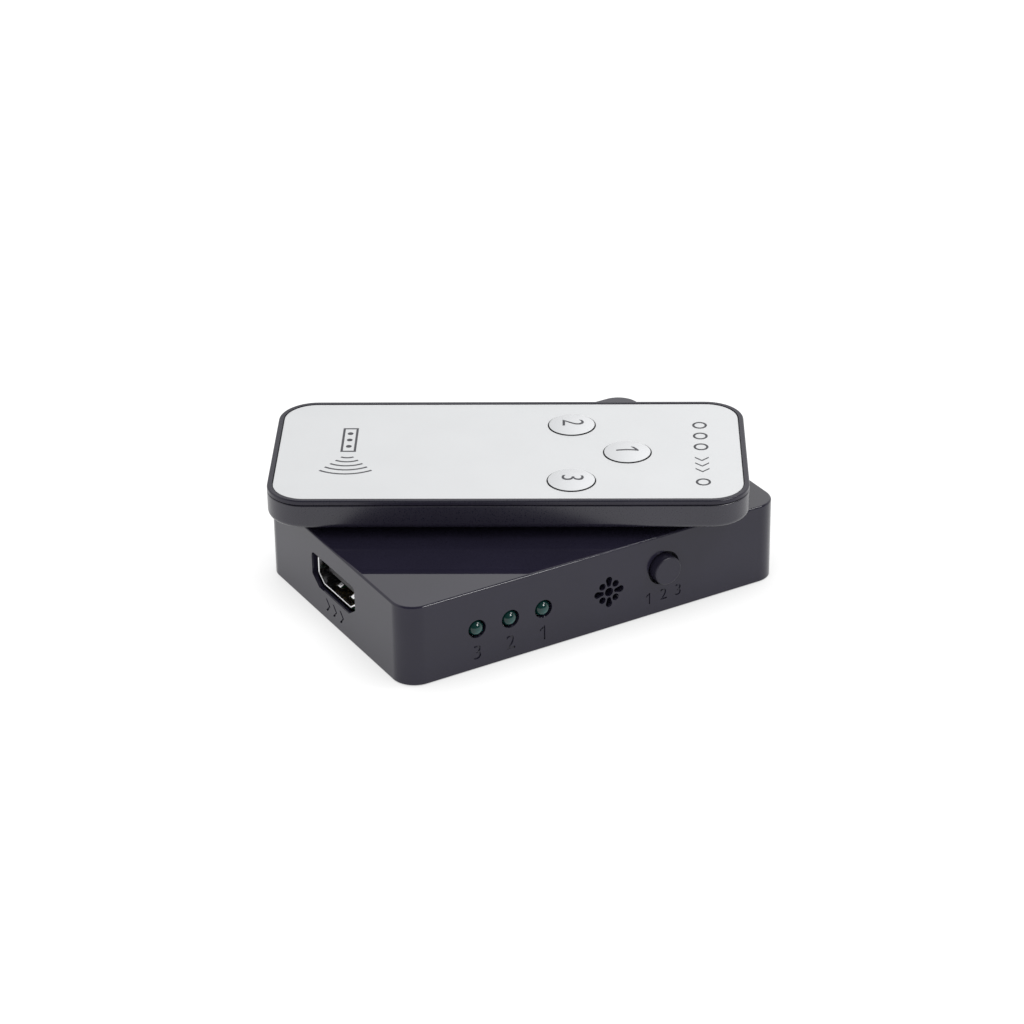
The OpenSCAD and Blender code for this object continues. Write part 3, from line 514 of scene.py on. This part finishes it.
cap_low, cap_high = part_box("select_button")
flange_r = (cap_high.x - cap_low.x) / 2
flange_y = cap_high.y - CAP_FLANGE
rim_turns = [math.pi / 2 * i / RIM_STEPS for i in range(RIM_STEPS + 1)]
cap_rim = [(CAP_R - CAP_RIM + CAP_RIM * math.sin(turn), cap_low.y + CAP_RIM - CAP_RIM * math.cos(turn))
           for turn in rim_turns]
cap_profile = [(0, cap_low.y), *cap_rim, (CAP_R, flange_y), (flange_r, flange_y),
               (flange_r, cap_high.y), (0, cap_high.y)]
cap_mesh = turned_about_y(cap_profile, button_spot, TURN_STEPS)
soften(cap_mesh)
level_planes(cap_mesh)
select_cap = link_new_object("select_cap", cap_mesh)
coat(select_cap, surface("cap_satin", CASE_TONE, CAP_ROUGH, depth=0))
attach(select_cap, "select_button")
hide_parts("select_button")
dress("tact_plunger", insert_finish)

# Supply inlet
# A barrel inlet moulded in the sockets' black plastic, with a plated centre pin. It is soldered to
# the board and opens in the right wall.
dress("supply_inlet", insert_finish)
dress("supply_pin", shell_finish)

# Remote casing
# Two thin mouldings in the same dark plastic, satin all over: a dished lower shell and an upper
# frame whose rim stands round the face. The battery tray closes one end.
REMOTE_TONE = (0.0165, 0.0148, 0.027)
REMOTE_ROUGH = (0.26, 0.32)
REMOTE_IOR = 1.58
SENDER_TONE = (0.03, 0.015, 0.05)
SENDER_ROUGH = (0.04, 0.08)
SENDER_GRAIN = 600
remote_finish = surface("remote_satin", REMOTE_TONE, REMOTE_ROUGH, depth=0, ior=REMOTE_IOR)
for casing in ("remote_lower_shell", "battery_tray"):
    dress(casing, remote_finish)
dress("remote_upper_frame", surface("rim_satin", REMOTE_TONE, REMOTE_ROUGH, depth=0))
dress("remote_ir_led", surface("sender_resin", SENDER_TONE, SENDER_ROUGH, grain=SENDER_GRAIN, depth=0))

# Face plate
# A pale silver film on a stiff plate, satin, let into the frame. Two small signs are printed on it
# in grey ink, one at each end.
FACE_TONE = (0.735, 0.745, 0.755)
FACE_ROUGH = (0.38, 0.46)
FACE_METAL = 0.25
FACE_GRAIN_DEPTH = 0.0015 * MM
SILVER_GRAIN = 2600
SILVER_SHARE = 0.012
INK_TONE = (0.075, 0.075, 0.085)
INK_ROUGH = (0.5, 0.6)
INK_GRAIN = 2000
INK_SHARE = 0.1
INK_THICKNESS = 0.02 * MM
RING_STEPS = 40
ARC_STEPS = 16
face_finish = surface("silver_film", FACE_TONE, FACE_ROUGH, grain=SILVER_GRAIN, depth=FACE_GRAIN_DEPTH,
                      metal=FACE_METAL, share=SILVER_SHARE)
dress("remote_face", face_finish)
ink_finish = surface("grey_ink", INK_TONE, INK_ROUGH, grain=INK_GRAIN, depth=0, share=INK_SHARE)


def joint_named(name):
    """A joint of the frame."""
    return next(joint for joint in frame["joints"] if joint["name"] == name)


along = -Vector(joint_named("tray_slide")["axis"])
across = UP.cross(along)
face_centre = middle("remote_face")
face_centre.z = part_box("remote_face")[1].z + INK_THICKNESS / 2


def on_face(u, v):
    """A point of the face: u along the remote towards the sender, v across it."""
    return face_centre + along * u + across * v


def laid_to_read(mesh, centre):
    """Lays a flat mark on the remote, so that it reads with the sender's end up."""
    return placed(mesh, -across, along, centre)


def moved_along(mesh, distance):
    """Moves a flat mark along its own +X."""
    mesh.transform(Matrix.Translation((distance, 0, 0)))
    return mesh


def ring_row_tree():
    """Geometry nodes that set out a row of flat rings."""
    tree = bpy.data.node_groups.new("ring_row", "GeometryNodeTree")
    tree.interface.new_socket("Geometry", in_out="OUTPUT", socket_type="NodeSocketGeometry")
    for name, kind in (("Count", "NodeSocketInt"), ("Pitch", "NodeSocketFloat"),
                       ("Radius", "NodeSocketFloat"), ("Line", "NodeSocketFloat"),
                       ("Thickness", "NodeSocketFloat"), ("Material", "NodeSocketMaterial")):
        tree.interface.new_socket(name, in_out="INPUT", socket_type=kind)
    given = tree.nodes.new("NodeGroupInput")
    result = tree.nodes.new("NodeGroupOutput")
    step = tree.nodes.new("ShaderNodeCombineXYZ")
    row = tree.nodes.new("GeometryNodeMeshLine")
    circle = tree.nodes.new("GeometryNodeCurvePrimitiveCircle")
    circle.inputs["Resolution"].default_value = RING_STEPS
    section = tree.nodes.new("GeometryNodeCurvePrimitiveQuadrilateral")
    sweep = tree.nodes.new("GeometryNodeCurveToMesh")
    repeat = tree.nodes.new("GeometryNodeInstanceOnPoints")
    realize = tree.nodes.new("GeometryNodeRealizeInstances")
    paint = tree.nodes.new("GeometryNodeSetMaterial")
    join = tree.links.new
    join(given.outputs["Pitch"], step.inputs["X"])
    join(given.outputs["Count"], row.inputs["Count"])
    join(step.outputs["Vector"], row.inputs["Offset"])
    join(given.outputs["Radius"], circle.inputs["Radius"])
    join(given.outputs["Line"], section.inputs["Width"])
    join(given.outputs["Thickness"], section.inputs["Height"])
    join(circle.outputs["Curve"], sweep.inputs["Curve"])
    join(section.outputs["Curve"], sweep.inputs["Profile Curve"])
    join(row.outputs["Mesh"], repeat.inputs["Points"])
    join(sweep.outputs["Mesh"], repeat.inputs["Instance"])
    join(repeat.outputs["Instances"], realize.inputs["Geometry"])
    join(realize.outputs["Geometry"], paint.inputs["Geometry"])
    join(given.outputs["Material"], paint.inputs["Material"])
    join(paint.outputs["Geometry"], result.inputs["Geometry"])
    return tree


def ring_row(count, pitch, radius, line):
    """A row of printed rings along +X, its first ring at the origin, as a plain mesh."""
    holder = link_new_object("ring_row", bpy.data.meshes.new("ring_row"))
    modifier = holder.modifiers.new("ring_row", "NODES")
    modifier.node_group = ring_row_tree()
    values = {"Count": count, "Pitch": pitch, "Radius": radius, "Line": line,
              "Thickness": INK_THICKNESS, "Material": ink_finish}
    for socket in modifier.node_group.interface.items_tree:
        if socket.in_out == "INPUT":
            modifier[socket.identifier] = values[socket.name]
    return plain_mesh(holder)


def printed(name, meshes, body):
    """Ink marks as one piece that rides on a body."""
    piece = link_new_object(name, joined(name, meshes))
    coat(piece, ink_finish)
    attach(piece, body)


def arc_band(radius, line, half_angle):
    """Outline of a band that follows an arc about the +X axis."""
    angles = [half_angle * (2 * i / ARC_STEPS - 1) for i in range(ARC_STEPS + 1)]
    outer = [((radius + line / 2) * math.cos(a), (radius + line / 2) * math.sin(a)) for a in angles]
    inner = [((radius - line / 2) * math.cos(a), (radius - line / 2) * math.sin(a)) for a in angles]
    return outer + inner[::-1]


SIGN_LINE = 0.42 * MM
SELECTOR_U = 34.8 * MM
SELECTOR_V = -1.3 * MM
SELECTOR_HALF = 12.5 * MM
INPUT_RINGS = 3
OUTPUT_RINGS = 1
RING_R = 1.15 * MM
RING_PITCH = 4.4 * MM
ARROW_COUNT = 3
ARROW_SIZE = 2.5 * MM
ARROW_FIRST = 2.1 * MM
ARROW_PITCH = 2.2 * MM
input_rings = ring_row(INPUT_RINGS, RING_PITCH, RING_R, SIGN_LINE)
output_rings = ring_row(OUTPUT_RINGS, RING_PITCH, RING_R, SIGN_LINE)
selector_marks = [moved_along(input_rings, RING_R - SELECTOR_HALF)]
for step in range(ARROW_COUNT):
    arrow = prism(chevron(ARROW_SIZE, SIGN_LINE), INK_THICKNESS)
    selector_marks.append(moved_along(arrow, ARROW_FIRST + step * ARROW_PITCH))
selector_marks.append(moved_along(output_rings, SELECTOR_HALF - RING_R))
selector_sign = [laid_to_read(mark, on_face(SELECTOR_U, SELECTOR_V)) for mark in selector_marks]
printed("selector_sign", selector_sign, "remote")

INFRARED_U = -29.3 * MM
INFRARED_V = -0.9 * MM
WAVE_COUNT = 5
WAVE_FIRST = 2.0 * MM
WAVE_PITCH = 1.6 * MM
WAVE_HALF_ANGLE = math.radians(34)
CARD_HALF_LENGTH = 4.6 * MM
CARD_HALF_WIDTH = 1.2 * MM
CARD_AT = -5.2 * MM
DOT_COUNT = 3
DOT_PITCH = 2.6 * MM
DOT_R = 0.28 * MM
DOT_LINE = 0.5 * MM


def card_outline(grow):
    """Outline of the little card, grown or shrunk by a margin."""
    x = CARD_HALF_LENGTH + grow
    y = CARD_HALF_WIDTH + grow
    return [(CARD_AT - x, -y), (CARD_AT + x, -y), (CARD_AT + x, y), (CARD_AT - x, y)]


def frame_sides(outer, inner):
    """Flat bars of ink between an outer and an inner outline."""
    bars = []
    for i in range(len(outer)):
        j = (i + 1) % len(outer)
        bars.append(prism([outer[i], outer[j], inner[j], inner[i]], INK_THICKNESS))
    return bars


infrared_marks = []
for step in range(WAVE_COUNT):
    wave = arc_band(WAVE_FIRST + step * WAVE_PITCH, SIGN_LINE, WAVE_HALF_ANGLE)
    infrared_marks.append(prism(wave, INK_THICKNESS))
infrared_marks += frame_sides(card_outline(SIGN_LINE / 2), card_outline(-SIGN_LINE / 2))
card_dots = ring_row(DOT_COUNT, DOT_PITCH, DOT_R, DOT_LINE)
infrared_marks.append(moved_along(card_dots, CARD_AT - DOT_PITCH))
infrared_sign = [laid_to_read(mark, on_face(INFRARED_U, INFRARED_V)) for mark in infrared_marks]
printed("infrared_sign", infrared_sign, "remote")

# Keys
# Three crowned round keys in the same silver as the face, each with a plain numeral printed on its
# crown, over a pressed steel dome.
KEY_TONE = (0.715, 0.725, 0.74)
KEY_ROUGH = (0.16, 0.22)
KEY_METAL = 0.3
# Painted shade: the key's upright side is coloured dark for the shade in the gap round it.
PAINTED_SIDE_SHADE = (0.05, 0.05, 0.055)
PAINTED_SHADE_TILT = (0.6, 0.9)
KEY_CROWN = 0.5 * MM
KEY_HALF = 4.2 * MM
KEY_NUMERAL = 5.8 * MM
KEY_SLIM = 0.05 * MM
DICE_STEP = 0.5 * MM
DICE_COUNT = 5
DOME_TONE = (0.6, 0.6, 0.62)
DOME_ROUGH = (0.2, 0.3)
DOME_GRAIN = 900


def key_surface(name):
    """Silver on the crown; painted shade in dark grey on its upright side, for the gap round the key."""
    material = surface(name, KEY_TONE, KEY_ROUGH, grain=SILVER_GRAIN, depth=0, metal=KEY_METAL,
                       share=SILVER_SHARE)
    tree = material.node_tree
    shader = tree.nodes["Principled BSDF"]
    silver = shader.inputs["Base Color"].links[0].from_socket
    facing = tree.nodes.new("ShaderNodeTexCoord")
    parts = tree.nodes.new("ShaderNodeSeparateXYZ")
    mix = tree.nodes.new("ShaderNodeMix")
    mix.data_type = "RGBA"
    # Painted shade: faces that lean away from up fade from silver to the dark side tone.
    mix.inputs["A"].default_value = (*PAINTED_SIDE_SHADE, 1)
    tree.links.new(facing.outputs["Normal"], parts.inputs["Vector"])
    tree.links.new(mapped(tree, parts.outputs["Z"], PAINTED_SHADE_TILT, (0, 1)), mix.inputs["Factor"])
    tree.links.new(silver, mix.inputs["B"])
    tree.links.new(mix.outputs["Result"], shader.inputs["Base Color"])
    return material


key_finish = key_surface("key_silver")
dome_finish = surface("dome_steel", DOME_TONE, DOME_ROUGH, grain=DOME_GRAIN, metal=1)


def diced(mesh):
    """Cuts a flat mesh into a fine grid, so that it can bend."""
    form = bmesh.new()
    form.from_mesh(mesh)
    for axis in (Vector((1, 0, 0)), Vector((0, 1, 0))):
        for i in range(-DICE_COUNT, DICE_COUNT + 1):
            whole = list(form.verts) + list(form.edges) + list(form.faces)
            bmesh.ops.bisect_plane(form, geom=whole, plane_co=axis * (i * DICE_STEP), plane_no=axis)
    form.to_mesh(mesh)
    form.free()
    return mesh


def laid_on_crown(mesh):
    """Bends a flat numeral down over a key's crown."""
    radius = (KEY_HALF ** 2 + KEY_CROWN ** 2) / (2 * KEY_CROWN)
    for vertex in mesh.vertices:
        reach = math.hypot(vertex.co.x, vertex.co.y)
        vertex.co.z -= radius - math.sqrt(radius ** 2 - reach ** 2)
    return mesh


def flattening_dome(number):
    """The steel dome under a key, as a merged copy of the node that rides with the remote."""
    node = f"snap_dome_{number}"
    leaf = merged_copy(node)
    soften(leaf)
    dome = link_new_object(f"dome_leaf_{number}", leaf)
    coat(dome, dome_finish)
    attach(dome, "remote")
    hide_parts(node)
    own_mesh(dome)


for number in (1, 2, 3):
    key = f"key_{number}"
    dress(key, key_finish)
    flattening_dome(number)
    crown_top = middle(key)
    crown_top.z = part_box(key)[1].z + INK_THICKNESS / 2
    key_mark = laid_on_crown(diced(numeral(number, KEY_NUMERAL, INK_THICKNESS, KEY_SLIM)))
    printed(f"key_numeral_{number}", [laid_to_read(key_mark, crown_top)], key)

# Battery
# A nickel-plated coin cell lies in the tray, and two spring-brass leaves press on it. The leaves are
# soldered to the remote's board and have the sockets' gold flash.
CELL_TONE = (0.6, 0.59, 0.57)
CELL_ROUGH = (0.2, 0.32)
CELL_GRAIN = 800
dress("coin_cell", surface("cell_nickel", CELL_TONE, CELL_ROUGH, grain=CELL_GRAIN, metal=1))
dress("battery_contacts", contact_finish)

# Floor, light and camera
# A white sweep with a wide soft shadow and a close painted shadow at the contact, where the sweep's glow
# is dimmed near the object. The light is soft all round, with a lamp at the right and one for gloss
# alone. Mirrors show a room that is darker above the camera.
FLOOR_HALF = 3.0
FLOOR_DROP = 0.02 * MM
FLOOR_TONE = 0.9
FLOOR_WHITE = 1.24
WHITE_SHARE = 0.75
# The painted shadow dims the sweep's own glow close to the object.
PAINTED_SHADOW_REACH = 12 * MM
PAINTED_SHADOW_LEVEL = 0.52
PAINTED_SHADOW_SAMPLES = 8


def reckoned(tree, operation, first, second):
    """Two values joined by an operation."""
    maths = tree.nodes.new("ShaderNodeMath")
    maths.operation = operation
    tree.links.new(first, maths.inputs[0])
    tree.links.new(second, maths.inputs[1])
    return maths.outputs["Value"]


def seen_directly(tree):
    """A mask for camera, mirror and glass rays, and not for soft light."""
    path = tree.nodes.new("ShaderNodeLightPath").outputs
    camera_or_mirror = reckoned(tree, "MAXIMUM", path["Is Camera Ray"], path["Is Glossy Ray"])
    return reckoned(tree, "MAXIMUM", camera_or_mirror, path["Is Transmission Ray"])


floor_corners = [(x * FLOOR_HALF, y * FLOOR_HALF, -FLOOR_DROP)
                 for x, y in ((-1, -1), (1, -1), (1, 1), (-1, 1))]
floor_mesh = bpy.data.meshes.new("floor")
floor_mesh.from_pydata(floor_corners, [], [(0, 1, 2, 3)])
floor = link_new_object("floor", floor_mesh)
floor_finish = bpy.data.materials.new("white_sweep")
floor_finish.use_nodes = True
floor_tree = floor_finish.node_tree
floor_tree.nodes.clear()
floor_out = floor_tree.nodes.new("ShaderNodeOutputMaterial")
floor_soft = floor_tree.nodes.new("ShaderNodeBsdfDiffuse")
floor_soft.inputs["Color"].default_value = (FLOOR_TONE, FLOOR_TONE, FLOOR_TONE, 1)
floor_white = floor_tree.nodes.new("ShaderNodeEmission")
# Painted shadow: the emission is dimmed where the occlusion probe finds the object near.
contact = floor_tree.nodes.new("ShaderNodeAmbientOcclusion")
contact.samples = PAINTED_SHADOW_SAMPLES
contact.inputs["Distance"].default_value = PAINTED_SHADOW_REACH
painted_shadow_levels = (FLOOR_WHITE * PAINTED_SHADOW_LEVEL, FLOOR_WHITE)
white_with_painted_shadow = mapped(floor_tree, contact.outputs["AO"], (0, 1), painted_shadow_levels)
white_part = mapped(floor_tree, seen_directly(floor_tree), (0, 1), (0, WHITE_SHARE))
floor_mix = floor_tree.nodes.new("ShaderNodeMixShader")
floor_tree.links.new(white_with_painted_shadow, floor_white.inputs["Strength"])
floor_tree.links.new(white_part, floor_mix.inputs["Fac"])
floor_tree.links.new(floor_soft.outputs["BSDF"], floor_mix.inputs[1])
floor_tree.links.new(floor_white.outputs["Emission"], floor_mix.inputs[2])
floor_tree.links.new(floor_mix.outputs["Shader"], floor_out.inputs["Surface"])
floor.data.materials.append(floor_finish)

WORLD_LIGHT = 0.93
ROOM_TOWARDS = Vector((-0.123, -0.696, 0.707))
ROOM_EDGE = (0.25, 0.6)
ROOM_DARK = 0.12
WALL_LEVEL = 0.85
CEILING_LEVEL = 1.2
CEILING_AT = 0.9
RIGHT_TOWARDS = Vector((0.866, -0.5, 0))
FAR_LEFT = (-0.8, 1.05)
NEAR_LEFT = (-0.25, 0.7)
NEAR_RIGHT = (0.25, 1.3)
FAR_RIGHT = (1.0, 1.0)

world = bpy.data.worlds.new("white_studio")
bpy.context.scene.world = world
world.use_nodes = True
world_tree = world.node_tree
look = world_tree.nodes.new("ShaderNodeTexCoord").outputs["Generated"]


def leaning(towards):
    """How far the looked-at direction leans towards another."""
    lean = world_tree.nodes.new("ShaderNodeVectorMath")
    lean.operation = "DOT_PRODUCT"
    lean.inputs[1].default_value = towards
    world_tree.links.new(look, lean.inputs[0])
    return lean.outputs["Value"]


def side_panels():
    """Level of the mirrored room, from its far left to its far right."""
    panels = world_tree.nodes.new("ShaderNodeValToRGB")
    stops = panels.color_ramp.elements
    for stop, (place, level) in zip(stops, (FAR_LEFT, FAR_RIGHT)):
        stop.position = (place + 1) / 2
        stop.color = (level, level, level, 1)
    for place, level in (NEAR_LEFT, NEAR_RIGHT):
        stops.new((place + 1) / 2).color = (level, level, level, 1)
    sideward = mapped(world_tree, leaning(RIGHT_TOWARDS), (-1, 1), (0, 1))
    world_tree.links.new(sideward, panels.inputs["Fac"])
    return panels.outputs["Color"]


height = world_tree.nodes.new("ShaderNodeSeparateXYZ")
world_tree.links.new(look, height.inputs["Vector"])
room = mapped(world_tree, leaning(ROOM_TOWARDS), ROOM_EDGE, (1, ROOM_DARK), "SMOOTHSTEP")
ceiling = mapped(world_tree, height.outputs["Z"], (0, CEILING_AT), (WALL_LEVEL, CEILING_LEVEL))
bright_part = reckoned(world_tree, "MULTIPLY", ceiling, side_panels())
studio = reckoned(world_tree, "MULTIPLY", room, bright_part)
mirrored = world_tree.nodes.new("ShaderNodeLightPath").outputs["Is Glossy Ray"]
room_mix = world_tree.nodes.new("ShaderNodeMix")
room_mix.inputs["A"].default_value = 1.0
world_tree.links.new(mirrored, room_mix.inputs["Factor"])
world_tree.links.new(studio, room_mix.inputs["B"])
sky_level = mapped(world_tree, seen_directly(world_tree), (0, 1), (WORLD_LIGHT, 1))
sky_strength = reckoned(world_tree, "MULTIPLY", sky_level, room_mix.outputs["Result"])
sky = world_tree.nodes["Background"]
sky.inputs["Color"].default_value = (1, 1, 1, 1)
world_tree.links.new(sky_strength, sky.inputs["Strength"])

LAMP_DISTANCE = 0.4


def outward(azimuth, elevation):
    """Direction out from the object: degrees round from the front, and degrees up."""
    turn = math.radians(azimuth)
    rise = math.radians(elevation)
    return Vector((math.sin(turn) * math.cos(rise), -math.cos(turn) * math.cos(rise), math.sin(rise)))


def soft_lamp(name, azimuth, elevation, size, watts):
    """A square soft lamp that looks at the object's middle."""
    lamp = bpy.data.lights.new(name, "AREA")
    lamp.size = size
    lamp.energy = watts
    holder = link_new_object(name, lamp)
    towards_lamp = outward(azimuth, elevation)
    holder.location = towards_lamp * LAMP_DISTANCE
    holder.rotation_mode = "QUATERNION"
    holder.rotation_quaternion = (-towards_lamp).to_track_quat("-Z", "Y")
    return holder


soft_lamp("key_lamp", azimuth=55, elevation=48, size=0.08, watts=0.3)
gloss_lamp = soft_lamp("gloss_lamp", azimuth=21, elevation=36, size=0.12, watts=0.8)
gloss_lamp.visible_diffuse = False

CAMERA_AZIMUTH = -30.071
CAMERA_ELEVATION = 27.864
CAMERA_ROLL = math.radians(-0.796)
CAMERA_AT = Vector((-264.28, -453.03, 289.56)) * MM
CAMERA_LENS = 114.58
CAMERA_SENSOR = 36
back = outward(CAMERA_AZIMUTH, CAMERA_ELEVATION)
level_right = (-back).cross(UP).normalized()
level_up = level_right.cross(-back)
rolled_right = math.cos(CAMERA_ROLL) * level_right + math.sin(CAMERA_ROLL) * level_up
rolled_up = math.cos(CAMERA_ROLL) * level_up - math.sin(CAMERA_ROLL) * level_right
camera_data = bpy.data.cameras.new("camera")
camera_data.lens = CAMERA_LENS
camera_data.sensor_width = CAMERA_SENSOR
camera = link_new_object("camera", camera_data)
camera.matrix_world = (Matrix.Translation(CAMERA_AT)
                       @ Matrix((rolled_right, rolled_up, back)).transposed().to_4x4())
bpy.context.scene.camera = camera
bpy.context.scene.view_settings.view_transform = "Standard"

bpy.context.view_layer.update()
